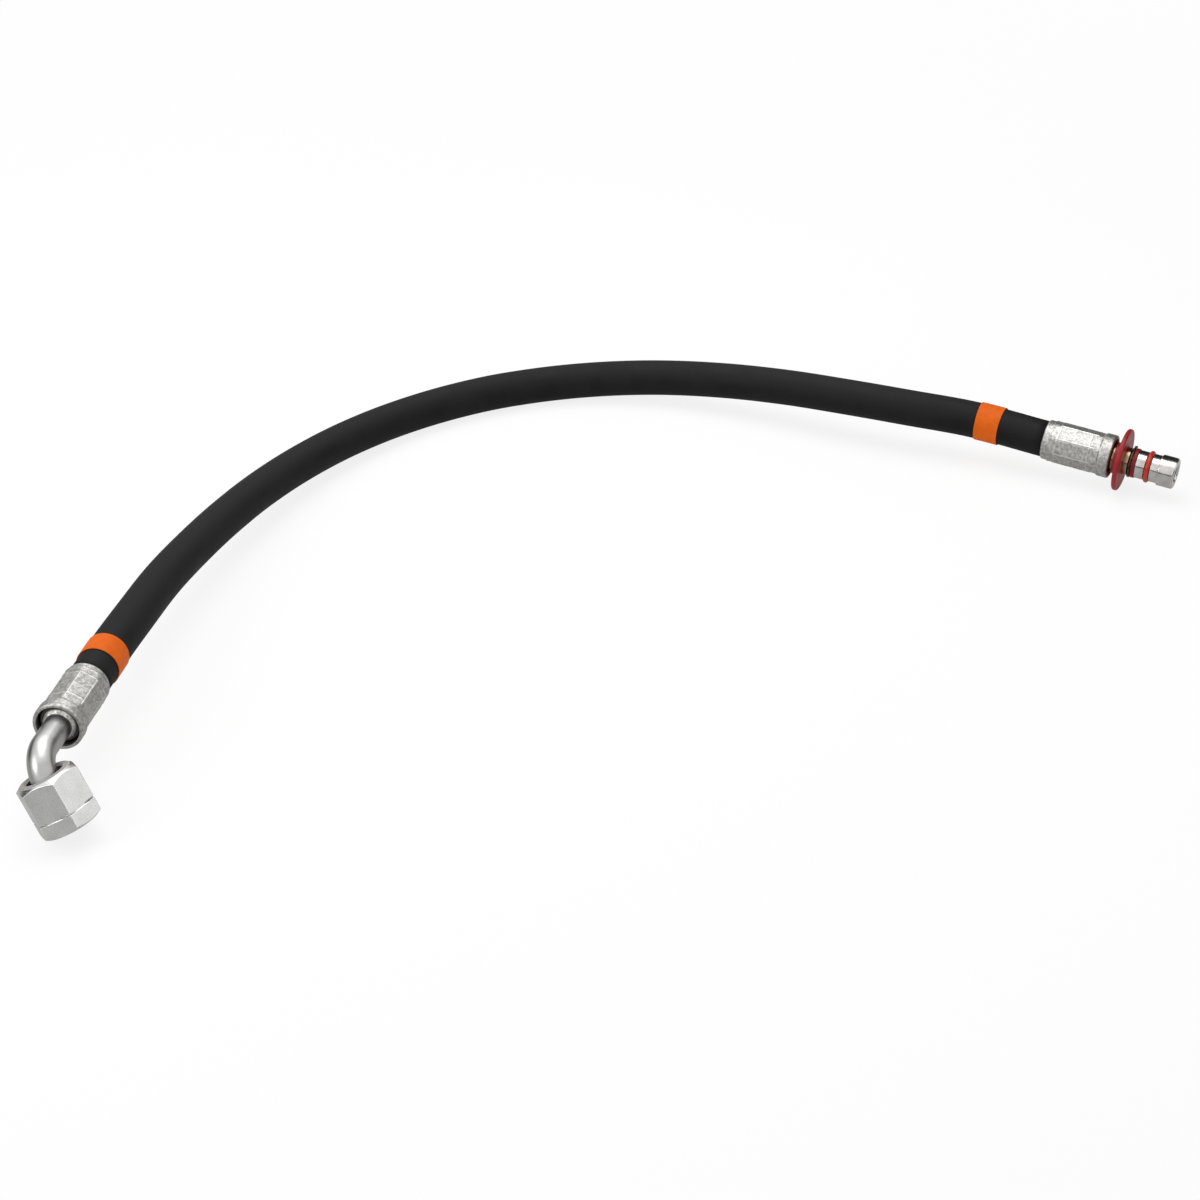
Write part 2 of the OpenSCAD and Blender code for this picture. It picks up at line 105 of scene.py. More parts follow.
hose_points = smooth_line(route, steps=14)
hose_points[:, 2] = np.maximum(hose_points[:, 2], hose_od / 2)
hose_at = np.append(0, np.cumsum(size(np.diff(hose_points, axis=0))))
hose_len = hose_at[-1]
hose_heading = unit(np.gradient(hose_points, hose_at, axis=0))


def along_hose(s):
    """Centre of the hose at distances s from the elbow's ferrule.

    With it come two directions square to the hose: level, and up.
    """
    centre, heading = (
        np.stack([np.interp(s, hose_at, table[:, k]) for k in range(3)], -1)
        for table in (hose_points, hose_heading))
    level = unit(np.cross(heading, (0, 0, 1)))
    return centre, level, np.cross(level, unit(heading))


def turns(sides):
    """The angles of the points round a piece, in one row."""
    return np.linspace(0, 2 * pi, sides, endpoint=False)[None]


def circles(line, s, radius, angle):
    """Points about a line, which may bend: a row for each distance s, a column for each angle.

    The angle runs from the line's first square direction to its second.
    """
    centre, first, second = line(s)
    circle = (np.cos(angle)[..., None] * first[:, None]
              + np.sin(angle)[..., None] * second[:, None])
    return centre[:, None] + radius[..., None] * circle


def around(line, profile, sides):
    """Full circles about a line: row (s, r) gives the circle of radius r at distance s."""
    return circles(line, profile[:, 0], profile[:, 1:2], turns(sides))


def shell(name, grid, node, slot, body, look, along, **marks):
    """Closed mesh of a grid that wraps both ways, its faces turned outwards.

    The map "wrap" runs once round in u and along the piece in v, in metres.
    Each mark is a number for every point.
    """
    rows, sides = grid.shape[:2]
    here = np.arange(rows * sides).reshape(rows, sides)
    down = np.roll(here, -1, 0)
    quads = np.stack([here, down, np.roll(down, -1, 1), np.roll(here, -1, 1)], -1)
    v = np.asarray(along, float)
    u = np.arange(sides + 1) / sides
    wrap = np.empty((rows, sides, 4, 2))
    wrap[..., 0] = np.stack([u[:-1], u[:-1], u[1:], u[1:]], -1)[None]
    wrap[..., 1] = np.stack([v, np.roll(v, -1), np.roll(v, -1), v], -1)[:, None]
    points = grid.reshape(-1, 3)
    quads, wrap = quads.reshape(-1, 4), wrap.reshape(-1, 4, 2)
    a, b, c, d = (points[quads[:, k]] - points.mean(0) for k in range(4))
    if (a * (np.cross(b, c) + np.cross(c, d))).sum() < 0:
        quads, wrap = quads[:, ::-1], wrap[:, ::-1]
    mesh = bpy.data.meshes.new(name)
    mesh.from_pydata(points.tolist(), [], quads.tolist())
    mesh.uv_layers.new(name="wrap").data.foreach_set("uv", wrap.ravel())
    for mark, values in marks.items():
        values = np.broadcast_to(values, (rows, sides)).astype(np.float32)
        mesh.attributes.new(mark, "FLOAT", "POINT").data.foreach_set("value", values.ravel())
    mesh.shade_smooth()
    piece = bpy.data.objects.new(name, mesh)
    bpy.context.scene.collection.objects.link(piece)
    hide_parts(node)
    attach(piece, body)
    mesh.materials.append(look)
    return piece


def add(made, kind, inputs=None, **settings):
    """A new node in a material or a world.

    Each input is a number, a colour or another node's output.
    """
    new = made.node_tree.nodes.new("ShaderNode" + kind)
    for name, value in settings.items():
        setattr(new, name, value)
    for name, value in (inputs or {}).items():
        if isinstance(value, bpy.types.NodeSocket):
            made.node_tree.links.new(value, new.inputs[name])
        else:
            new.inputs[name].default_value = value
    return new


def finish(name, colour, roughness, metallic=0.0, specular=0.5):
    """A material and its surface shader, with what is the same all over set on the shader."""
    made = bpy.data.materials.new(name)
    made.use_nodes = True
    surface = made.node_tree.nodes["Principled BSDF"]
    for socket, value in (("Base Color", (*colour, 1)), ("Roughness", roughness),
                          ("Metallic", metallic), ("Specular IOR Level", specular)):
        surface.inputs[socket].default_value = value
    return made, surface


def feed(made, surface, socket, output):
    """A link from a node's output to one of the surface's sockets."""
    made.node_tree.links.new(output, surface.inputs[socket])


def noise(made, scale, detail=4.0):
    """Noise on Object coordinates: scale is in features for each metre."""
    place = add(made, "TexCoord").outputs["Object"]
    return add(made, "TexNoise", {"Vector": place, "Scale": scale, "Detail": detail}).outputs["Fac"]


def wrapped(made, scale):
    """The map "wrap", stretched by scale."""
    wrap = add(made, "UVMap", uv_map="wrap").outputs["UV"]
    return add(made, "Mapping", {"Vector": wrap, "Scale": scale}).outputs["Vector"]


def combine(made, operation, first, second):
    """Two numbers, put together by a math operation."""
    return add(made, "Math", {0: first, 1: second}, operation=operation).outputs["Value"]


def spread(made, value, low, high, start=0.3, end=0.7):
    """A number that goes from low to high while value goes from start to end."""
    return add(made, "MapRange", {"Value": value, "From Min": start, "From Max": end,
                                  "To Min": low, "To Max": high}).outputs["Result"]


def tint(made, value, first, second, start=0.3, end=0.7):
    """A colour that goes from first to second while value goes from start to end."""
    ramp = add(made, "ValToRGB", {"Fac": value})
    for stop, place, colour in zip(ramp.color_ramp.elements, (start, end), (first, second)):
        stop.position, stop.color = place, (*colour, 1)
    return ramp.outputs["Color"]


def clouded(made, surface, value, colours, roughness, start=0.3, end=0.7):
    """Colour and roughness that both follow value, from the first of each pair to the second.

    The start and the end are the colour's.
    """
    feed(made, surface, "Base Color", tint(made, value, *colours, start, end))
    feed(made, surface, "Roughness", spread(made, value, *roughness))


def bumped(made, surface, height, depth):
    """Height, from 0 to 1, times depth in metres, felt by the light only."""
    bump = add(made, "Bump", {"Height": height, "Distance": depth, "Strength": 1.0})
    feed(made, surface, "Normal", bump.outputs["Normal"])


def tube(outer, inner, start, end, every):
    """Profile of a tube: out along the outer wall and back along the inner one.

    There is a row about every so many metres.
    """
    s = np.linspace(start, end, round((end - start) / every) + 1)
    return np.concatenate([np.stack([s, np.full_like(s, outer)], -1),
                           np.stack([s[::-1], np.full_like(s, inner)], -1)])


# the cover's matte black, with the weave of the curing wrap
weave_round, weave_along = 90, 1300          # threads to a turn, and to a metre
cover_black, cover_surface = finish("cover_black", (0.012, 0.012, 0.013), 0.6, specular=0.14)
cloth = add(cover_black, "TexVoronoi",
            {"Vector": wrapped(cover_black, (weave_round, weave_along, 1)), "Scale": 1.0,
             "Randomness": 0.35}, feature="SMOOTH_F1")
clouded(cover_black, cover_surface, noise(cover_black, 55, 6),
        ((0.009, 0.009, 0.0095), (0.016, 0.016, 0.0165)), (0.52, 0.7))
bumped(cover_black, cover_surface, cloth.outputs["Distance"], 0.05 * mm)

# two sets of wires that cross at the braid's angle
wires_round, wires_along = 16, 480           # wires to a turn, and to a metre
braid_wire, wire_surface = finish("braid_wire", (0.55, 0.45, 0.25), 0.35, 1.0)
crossing = [add(braid_wire, "TexWave",
                {"Vector": wrapped(braid_wire, (turn * wires_round, wires_along, 1)), "Scale": 1.0},
                bands_direction="DIAGONAL").outputs["Fac"] for turn in (1, -1)]
plait = combine(braid_wire, "MAXIMUM", *crossing)
feed(braid_wire, wire_surface, "Base Color",
     tint(braid_wire, plait, (0.16, 0.13, 0.08), (0.58, 0.47, 0.27), 0.2, 0.9))
bumped(braid_wire, wire_surface, plait, 0.2 * mm)

liner_black, liner_surface = finish("liner_black", (0.02, 0.02, 0.02), 0.5)
feed(liner_black, liner_surface, "Roughness",
     spread(liner_black, noise(liner_black, 200), 0.42, 0.6))

liner_r = hose_bore / 2 + liner_wall
inner_braid_r = liner_r + braid_wall
outer_braid_r = inner_braid_r + braid_wall
layers = (
    ("hose_tube", "hose_cover", "cover_rubber", hose_od / 2, outer_braid_r, cover_black, 96),
    ("outer_wire", "outer_braid", "braid_wire", outer_braid_r, inner_braid_r, braid_wire, 48),
    ("inner_wire", "inner_braid", "braid_wire", inner_braid_r, liner_r, braid_wire, 48),
    ("liner_tube", "hose_liner", "liner_rubber", liner_r, hose_bore / 2, liner_black, 48),
)
for name, node, slot, outer, inner, look, sides in layers:
    walls = tube(outer, inner, 0, hose_len, every=5 * mm)
    shell(name, around(along_hose, walls, sides), node, slot, "hose", look,
                             walls[:, 0])


# Colour bands.
# Two thin sleeves of orange plastic slipped on the hose before its ends are
# crimped, and pushed up to mark it.
band_len = 15 * mm
band_wall = 0.5 * mm
band_bore_r = hose_od / 2 + 0.15 * mm
band_corner = 0.15 * mm
band_starts = {"elbow_band": 14.5 * mm, "plug_band": hose_len - 28 * mm - band_len}


def rounded(outline, radius, steps=4, closed=True):
    """Outline with a short curve at each corner, which leaves and meets the sides radius away.

    One more point on each side keeps that side flat. The third column is 1 in
    the middle of a curve and 0 on the sides.
    """
    here = np.asarray(outline, float)
    back, on = np.roll(here, 1, 0) - here, np.roll(here, -1, 0) - here
    radius = np.broadcast_to(np.asarray(radius, float), len(here))[:, None]
    k = np.linspace(0, 1, steps)[None, :, None]

    def beside(reach, share):
        return (here + unit(way) * np.minimum(reach, share * size(way)) for way in (back, on))

    first, last = beside(radius, 0.4)
    before, beyond = beside(1.4 * radius, 0.48)
    curve = ((1 - k)**2 * first[:, None] + 2 * k * (1 - k) * here[:, None]
             + k**2 * last[:, None])
    curve = np.concatenate([before[:, None], curve, beyond[:, None]], 1)
    edge = np.concatenate([[0], 4 * k[0, :, 0] * (1 - k[0, :, 0]), [0]])
    edge = np.broadcast_to(edge[None, :, None], (*curve.shape[:2], 1))
    curve = np.concatenate([curve, edge], -1)
    if closed:
        return curve.reshape(-1, 3)
    ends = np.concatenate([here[[0, -1]], np.zeros((2, 1))], 1)
    return np.concatenate([ends[:1], curve[1:-1].reshape(-1, 3), ends[1:]])


band_orange, band_surface = finish("band_orange", (0.88, 0.15, 0.006), 0.5, specular=0.15)
scuff = noise(band_orange, 260, 5)
clouded(band_orange, band_surface, scuff, ((0.84, 0.13, 0.005), (0.92, 0.17, 0.008)), (0.44, 0.6))
bumped(band_orange, band_surface, scuff, 0.04 * mm)

for node, start in band_starts.items():
    sleeve = tube(band_bore_r + band_wall, band_bore_r, 0, band_len, every=2.5 * mm)
    sleeve[:, 0] += start
    sleeve = rounded(sleeve, band_corner, 3)
    shell(node + "_sleeve", around(along_hose, sleeve, 96), node, "band_orange",
                       "hose", band_orange, sleeve[:, 0])


# Crimped ferrules.
# Zinc-plated steel cups, squeezed on the hose by eight jaws. The jaws leave
# eight flats with a ridge of metal between each pair, a round collar on the
# hose side and the mouth as it was turned. Both are pressed alike.
ferrule_len = 42.5 * mm
collar_r = 12.1 * mm
mouth_r = 13.25 * mm
flat_r = 12.0 * mm
corner_r = 12.55 * mm
end_round = 1.2 * mm
jaws = 8
crimp_start, crimp_end = 4 * mm, 35 * mm
ridge_w, ridge_h, ridge_fade = 0.9 * mm, 0.3 * mm, 0.8 * mm
bar_w, bar_h = 0.45 * mm, 0.16 * mm
swell_w, swell_h = 0.5 * mm, 0.14 * mm
uneven_h = 0.03 * mm
mouth_bore_r, mouth_depth = 11.4 * mm, 6.4 * mm
lip_r, lip_t = 8.0 * mm, 3.2 * mm
crimp_bore_r = 10.6 * mm
entry_r = hose_od / 2 + 0.05 * mm
entry_end, crimp_bore_from = 2.5 * mm, 4.5 * mm

joints = {joint["name"]: joint for joint in frame["joints"]}
elbow_way = unit(route[0] - route[1])
nut_way = unit(np.array(joints["nut_spin"]["axis"]))
plug_way = unit(route[-1] - route[-2])


def square_to(way, v):
    """The part of v that is square to way, made one long."""
    return unit(np.asarray(v, float) - np.dot(v, way) * way)


head_way = square_to(elbow_way, nut_way)


def straight(start, way, first):
    """A straight line from start, with its two square directions."""
    def line(s):
        s = np.asarray(s, float)[:, None]
        return start + s * way, first + 0 * s, np.cross(way, first) + 0 * s
    return line


along_elbow = straight(route[0], elbow_way, head_way)
along_plug = straight(route[-1], plug_way, square_to(plug_way, (0, 0, -1)))


def step(x, low, high):
    """0 below low and 1 above high, with a smooth rise between."""
    k = np.clip((x - low) / (high - low), 0, 1)
    return k * k * (3 - 2 * k)


def lesser(*sizes):
    """The least of the sizes, with 0.08 mm of rounding where two meet."""
    soft = 0.08 * mm
    lift, most = 150, 400                    # both keep the powers within range
    powers = sum(np.exp(-np.clip(s / soft, -most, most) + lift) for s in sizes)
    return -soft * np.log(powers) + lift * soft


def ferrule_skin(t, angle, seed):
    """Radius of a pressed ferrule, and how far up a ridge or a bar each point is.

    The collar's circle, the jaws' rounded polygon and the mouth's circle fade
    into one another. A ridge runs along every corner and a bar across both
    ends of every flat, and a low swell shows where the metal was pushed out
    of the way.
    """
    own = np.random.default_rng(seed)
    pitch = 2 * pi / jaws
    from_flat = (angle % pitch) - pitch / 2
    from_corner = ((angle + pitch / 2) % pitch) - pitch / 2
    corner = np.round(angle / pitch).astype(int) % jaws
    flat = np.round(angle / pitch - 0.5).astype(int) % jaws
    ridge_from = crimp_start + own.uniform(2.5, 5.0, jaws)[corner] * mm
    ridge_to = crimp_end - own.uniform(1.5, 4.5, jaws)[corner] * mm
    height = ridge_h * own.uniform(0.65, 1.0, jaws)[corner]
    bars_at = (own.uniform(8.5, 9.5, jaws)[flat] * mm, own.uniform(28.0, 29.5, jaws)[flat] * mm)
    across = 1 - step(np.abs(from_corner) * corner_r, 0.18 * ridge_w, 0.75 * ridge_w)
    starts = step(t, ridge_from, ridge_from + ridge_fade)
    stops = 1 - step(t, ridge_to - ridge_fade, ridge_to)
    bars = bar_h * sum(np.exp(-((t - bar) / bar_w)**2) for bar in bars_at)
    ridge = np.maximum(height * across * starts * stops, bars)
    swell = swell_h * np.exp(-((t - crimp_start - 0.5 * mm) / swell_w)**2)
    uneven = uneven_h * (np.sin(3 * angle + 900 * t + seed) + np.sin(5 * angle - 500 * t))
    pressed = lesser(flat_r / np.cos(from_flat), corner_r + 0 * t) + ridge + swell + uneven
    in_jaws = (step(t, crimp_start - 0.3 * mm, crimp_start + 0.5 * mm)
               * (1 - step(t, crimp_end - 0.6 * mm, crimp_end + 1.2 * mm)))
    plain = np.where(t < ferrule_len / 2, collar_r, mouth_r)
    from_end = np.maximum(end_round - np.minimum(t, ferrule_len - t), 0)
    fall = end_round - np.sqrt(np.maximum(end_round**2 - from_end**2, 0))
    return plain + in_jaws * (pressed - plain) - fall, ridge / ridge_h


def ferrule(name, node, line, turn, seed):
    """A ferrule, turned by so many degrees: the pressed skin outside and the bore inside.

    The bore has the mouth's recess, the lip that locks behind the tail's
    collar, and the length that grips the hose. The mark "dark" is the shade
    deep in the mouth.
    """
    sides = 288
    angle = turns(sides)
    close_rows = np.linspace(0, end_round, 10)
    t = np.concatenate([close_rows, np.arange(1.5, 41.2, 0.3) * mm, ferrule_len - close_rows[::-1]])
    skin, ridge = ferrule_skin(t[:, None], angle - radians(turn), seed)
    lip_to = ferrule_len - mouth_depth
    lip_from = lip_to - lip_t
    inside = rounded([(ferrule_len, mouth_r - end_round), (ferrule_len, mouth_bore_r),
                      (lip_to, mouth_bore_r), (lip_to, lip_r), (lip_from, lip_r),
                      (lip_from, crimp_bore_r), (crimp_bore_from, crimp_bore_r),
                      (entry_end, entry_r), (0, entry_r), (0, collar_r - end_round)],
                     0.3 * mm, 4, closed=False)[1:-1]
    rows = np.concatenate([t, inside[:, 0]])
    radius = np.concatenate([skin, np.repeat(inside[:, 1:2], sides, 1)])
    edge = np.concatenate([ridge, np.repeat(inside[:, 2:], sides, 1)])
    dark = np.concatenate([0 * t, step(ferrule_len - inside[:, 0], 0.2 * mm, 4 * mm)])
    shell(name, circles(line, rows, radius, angle), node, "ferrule_zinc", "hose", zinc, rows,
          edge=edge, dark=dark[:, None])


def mix(made, share, first, second):
    """A colour that goes from first to second as share goes from 0 to 1."""
    return add(made, "Mix", {"Factor": share, "A": first, "B": (*second, 1)},
               data_type="RGBA").outputs["Result"]


def marked(made, mark):
    """One of the marks that shell puts on a mesh."""
    return add(made, "Attribute", attribute_name=mark).outputs["Fac"]


# mottled zinc: cloudy patches, fine grain, metal rubbed bright on the ridges, and painted shade
# deep in the mouth
zinc, zinc_surface = finish("ferrule_zinc", (0.5, 0.5, 0.48), 0.4, 0.85)
cloud, grain = noise(zinc, 620, 8), noise(zinc, 1900, 3)
patches = tint(zinc, cloud, (0.31, 0.308, 0.294), (0.57, 0.565, 0.54), 0.34, 0.64)
rubbed = spread(zinc, marked(zinc, "edge"), 0, 0.85, 0.2, 0.9)
bright = mix(zinc, rubbed, patches, (0.82, 0.81, 0.79))
# painted shade: the mark "dark" turns the colour nearly black deep in the mouth
feed(zinc, zinc_surface, "Base Color", mix(zinc, marked(zinc, "dark"), bright, (0.03, 0.03, 0.03)))
feed(zinc, zinc_surface, "Roughness", spread(zinc, grain, 0.36, 0.5))
bumped(zinc, zinc_surface, combine(zinc, "ADD", cloud, grain), 0.1 * mm)

ferrule("elbow_cup", "elbow_ferrule", along_elbow, turn=12, seed=3)
ferrule("plug_cup", "plug_ferrule", along_plug, turn=8, seed=8)


# Barbed tail of the elbow.
# A turned steel insert with four barbs inside the hose, a groove for the
# ferrule's lip and the dull collar that shows deep in the ferrule's mouth.
def turned(name, node, line, outline, radius, sides, slot, look, body="hose", steps=4):
    """A piece turned on the line's axis from a closed outline of (distance, radius) in mm.

    Its corners are rounded, and the mark "edge" is 1 on them.
    """
    profile = rounded(mm * np.asarray(outline, float), mm * np.asarray(radius, float), steps)
    shell(name, around(line, profile, sides), node, slot, body, look, profile[:, 0],
          edge=profile[:, 2:])


def turned_metal(name, dark, light, roughness, rings=5400, depth=0.02 * mm, worn=0.7):
    """Metal off the lathe: fine rings, faint stains, and edges rubbed bright by as much as worn.

    The rings are so many to a metre, and uneven round the piece.
    """
    made, surface = finish(name, light, roughness, 1.0)
    tool = add(made, "TexNoise", {"Vector": wrapped(made, (3, rings, 1)), "Scale": 1.0,
                                  "Detail": 2.0}).outputs["Fac"]
    stain = noise(made, 160, 5)
    rubbed = spread(made, marked(made, "edge"), 0, worn, 0.1, 0.9)
    feed(made, surface, "Base Color",
         mix(made, rubbed, tint(made, stain, dark, light), (0.88, 0.87, 0.85)))
    feed(made, surface, "Roughness", spread(made, stain, roughness * 0.8, roughness * 1.25))
    bumped(made, surface, tool, depth)
    return made, surface


tail_start, tail_bore_r = 2.5, 4.9           # in mm, as in all outlines of turned pieces
barbs_from, barb_len, barb_pitch = 4, 5, 6.4
root_r, barb_r = 6.2, 6.9
stop_start, stop_end, stop_r = 31.2, 32.6, 9.3
lock_r = 7.9
collar_start, collar_end, tail_collar_r = 36.4, 39.0, 10.2
socket_start, socket_r = 36.8, 7.05
tail_steel = turned_metal("tail_steel", (0.07, 0.068, 0.065), (0.13, 0.125, 0.12), 0.5,
                          rings=4200, depth=0.04 * mm, worn=0.08)[0]
tail_outside = [(tail_start, tail_bore_r), (tail_start, 5.6), (tail_start + 1, root_r)]
for barb_start in (barbs_from + barb_pitch * k for k in range(4)):
    tail_outside += [(barb_start, root_r), (barb_start + barb_len, barb_r),
                     (barb_start + barb_len, root_r)]
tail_outside += [(stop_start, root_r), (stop_start, stop_r), (stop_end, stop_r),
                 (stop_end, lock_r), (collar_start, lock_r), (collar_start, tail_collar_r),
                 (collar_end, tail_collar_r)]
turned("elbow_insert", "elbow_tail", along_elbow,
       tail_outside + [(collar_end, socket_r), (socket_start, socket_r),
                       (socket_start, tail_bore_r)],
       0.25, 96, "tail_steel", tail_steel)


# Braze.
# The tube is brazed into the tail: a bright, lumpy fillet of metal runs round
# it on the collar's face, where it set as it flowed.
braze_metal, braze_surface = finish("braze_metal", (0.74, 0.73, 0.7), 0.5, 0.75)
slag = noise(braze_metal, 700, 5)
clouded(braze_metal, braze_surface, slag, ((0.5, 0.47, 0.42), (0.84, 0.83, 0.8)), (0.6, 0.42),
        0.35, 0.55)
bumped(braze_metal, braze_surface, slag, 0.2 * mm)
bead_bore_r, bead_end = 7.04, 41.2
bead = rounded([(collar_end, bead_bore_r), (collar_end, 8.9), (39.7, 8.85), (40.4, 8.05),
                (bead_end, 7.2), (bead_end, bead_bore_r)], 0.4, 6)
angle = turns(160)
lump = 1 + 0.1 * np.sin(5 * angle + 1) * np.sin(3 * angle) + 0.04 * np.sin(9 * angle + 2)
bead_at = collar_end + (bead[:, :1] - collar_end) * lump
bead_r = bead_bore_r + (bead[:, 1:2] - bead_bore_r) * np.minimum(lump, 1)
centre = route[0] + bead_at[..., None] * mm * elbow_way
ring = (np.cos(angle)[..., None] * head_way
        + np.sin(angle)[..., None] * np.cross(elbow_way, head_way))
shell("braze_bead", centre + bead_r[..., None] * mm * ring, "braze_ring", "braze_metal", "hose",
      braze_metal, bead[:, 0] * mm)


# Bent tube.
# Thick steel tube, cold bent through a quarter turn and polished bright with
# its plating. It runs from its socket in the tail to the swivel head.
tube_r = 7 * mm
tube_wall = 2 * mm
bend_r = 16 * mm
bend_from = 59.5 * mm
tube_tail = 8 * mm
bend_len = bend_r * pi / 2
tube_end = bend_from + bend_len + tube_tail


def along_tube(s):
    """The tube's own line: straight out of the tail, a quarter circle, and down the head's axis.

    Distances s count from the start of the elbow's ferrule.
    """
    s = np.asarray(s, float)
    bend = np.clip((s - bend_from) / bend_r, 0, pi / 2)
    out = np.minimum(s, bend_from) + bend_r * np.sin(bend)
    down = bend_r * (1 - np.cos(bend)) + np.maximum(s - bend_from - bend_len, 0)
    first = np.cos(bend)[:, None] * head_way - np.sin(bend)[:, None] * elbow_way
    return (route[0] + out[:, None] * elbow_way + down[:, None] * head_way, first,
            np.cross(elbow_way, head_way) + 0 * first)


tube_polish, polish_surface = finish("tube_polish", (0.6, 0.6, 0.59), 0.17, 1.0)
clouded(tube_polish, polish_surface, noise(tube_polish, 90, 5),
        ((0.4, 0.4, 0.39), (0.53, 0.53, 0.52)), (0.3, 0.42))
bumped(tube_polish, polish_surface, noise(tube_polish, 2500, 2), 0.004 * mm)
walls = tube(tube_r, tube_r - tube_wall, socket_start * mm, tube_end, every=0.8 * mm)
shell("bent_pipe", around(along_tube, walls, 128), "bent_tube", "tube_polished", "hose",
      tube_polish, walls[:, 0])


# Swivel head.
# A steel sleeve brazed on the tube's end, with the flat flange that the nut
# pulls against the mating fitting.
head_start, flange_start, head_seat, head_end = 1, 5, 8.1, 10
sleeve_r, flange_r, head_bore_r = 9, 11.4, 5
bend_end = route[0] + (bend_from + bend_r) * elbow_way + bend_r * head_way
along_head = straight(bend_end, head_way, -elbow_way)
head_steel = turned_metal("head_steel", (0.4, 0.4, 0.39), (0.55, 0.55, 0.53), 0.3)[0]
turned("head_sleeve", "swivel_head", along_head,
       [(head_start, socket_r), (head_start, sleeve_r), (flange_start, sleeve_r),
        (flange_start, flange_r), (head_end, flange_r), (head_end, head_bore_r),
        (head_seat, head_bore_r), (head_seat, socket_r)],
       0.3, 96, "tail_steel", head_steel)


# Swivel nut.
# A hexagon nut turned from bar, loose behind the head, so that it leans on the
# tube. Both ends are coned, a marking groove runs round it, and its thread has
# 14 turns to the inch. Its back, its thread and its bore are darkened with
# painted shade.
along_nut = straight(np.array(joints["nut_spin"]["pos_m"]), nut_way, square_to(nut_way, -elbow_way))
nut_af = 30 * mm
nut_turn = radians(19)
nut_back, nut_front = -8 * mm, 21 * mm
nut_back_r, nut_face_r = 13 * mm, 14.1 * mm
back_cone, face_cone = radians(35), radians(30)
groove_at, groove_w, groove_depth = 19.5 * mm, 1.1 * mm, 0.5 * mm
hole_r, hole_chamfer, chamber_r = 9.8 * mm, 0.8 * mm, 12.8 * mm
back_wall, thread_len = 5 * mm, 9 * mm
chamber_from, thread_from = nut_back + back_wall, nut_front - thread_len
thread_r, thread_depth, thread_lead = 11.7 * mm, 1.0 * mm, 0.8 * mm
thread_pitch = 25.4 * mm / 14
flat_step = pi / 3
sides = 360
angle = turns(sides)


def nut_skin(n):
    """Radius of the nut's outside: the hexagon, the cone at each end or the groove.

    Whichever is least holds. Beside the groove its limit is lifted clear of
    the hexagon's corners.
    """
    from_flat = ((angle - nut_turn) % flat_step) - flat_step / 2
    from_middle = np.abs(n - (nut_back + groove_at + groove_w / 2))
    lifted = 6 * mm * step(from_middle, groove_w / 2 - 0.1 * mm, groove_w / 2 + 0.15 * mm)
    limits = (nut_back_r + (n - nut_back) / np.tan(back_cone),
              nut_face_r + (nut_front - n) / np.tan(face_cone),
              nut_af / 2 - groove_depth + lifted)
    return lesser(nut_af / 2 / np.cos(from_flat), *(limit + 0 * angle for limit in limits))


def nut_thread(n):
    """Radius of the thread: a triangular groove that turns once for each pitch.

    It fades out by the chamber.
    """
    wave = np.abs(((n / thread_pitch - angle / (2 * pi)) % 1) * 2 - 1)
    depth = thread_depth * step(wave, 0.15, 0.95)
    return thread_r + depth * step(n, thread_from + 0.1 * mm, thread_from + 1.2 * mm)


# first, last and number of the rows, in mm: close together on both cones and on the groove
skin_rows = ((-8, -4.6, 34), (-4.2, 11, 12), (11.2, 12.9, 22), (13.3, 18.2, 6), (18.6, 21, 26))
outside = mm * np.concatenate([np.linspace(*rows) for rows in skin_rows])
mouth = rounded([(nut_front, nut_face_r - 0.1 * mm), (nut_front, nut_face_r - 0.2 * mm),
                 (nut_front, thread_r + thread_lead), (nut_front - thread_lead, thread_r)],
                0.15 * mm, 3, closed=False)
threads = np.arange(nut_front - 0.9 * mm, thread_from + 0.1 * mm, -0.12 * mm)
inside = rounded([(thread_from, thread_r), (thread_from, chamber_r), (chamber_from, chamber_r),
                  (chamber_from, hole_r), (nut_back + hole_chamfer, hole_r),
                  (nut_back, hole_r + hole_chamfer), (nut_back, nut_back_r - 0.2 * mm),
                  (nut_back, nut_back_r - 0.1 * mm)], 0.2 * mm, 4, closed=False)
rows = np.concatenate([outside, mouth[:, 0], threads, inside[:, 0]])
radius = np.concatenate([nut_skin(outside[:, None]), np.repeat(mouth[:, 1:2], sides, 1),
                         nut_thread(threads[:, None]), np.repeat(inside[:, 1:2], sides, 1)])
from_corner = np.abs(((angle - nut_turn + flat_step / 2) % flat_step) - flat_step / 2)
edge = np.concatenate([(1 - step(from_corner, 0.01, 0.05)) * np.ones((len(outside), 1)),
                       np.zeros((len(rows) - len(outside), sides))])
# the mark "dark" is painted shade: full on the back and the hole's edge, a fifth in the thread, 0.3
# in the rest of the bore
dark = np.concatenate([1 - step(outside - nut_back, 0.1 * mm, 1.1 * mm), 0 * mouth[:, 0],
                       0.2 + 0 * threads,
                       1 - 0.7 * step(inside[:, 0] - nut_back, 0.1 * mm, 1.0 * mm)])
nut_satin, satin_surface = finish("nut_satin", (0.72, 0.72, 0.71), 0.3, 1.0)
haze, fleck = noise(nut_satin, 120, 4), noise(nut_satin, 1800, 2)
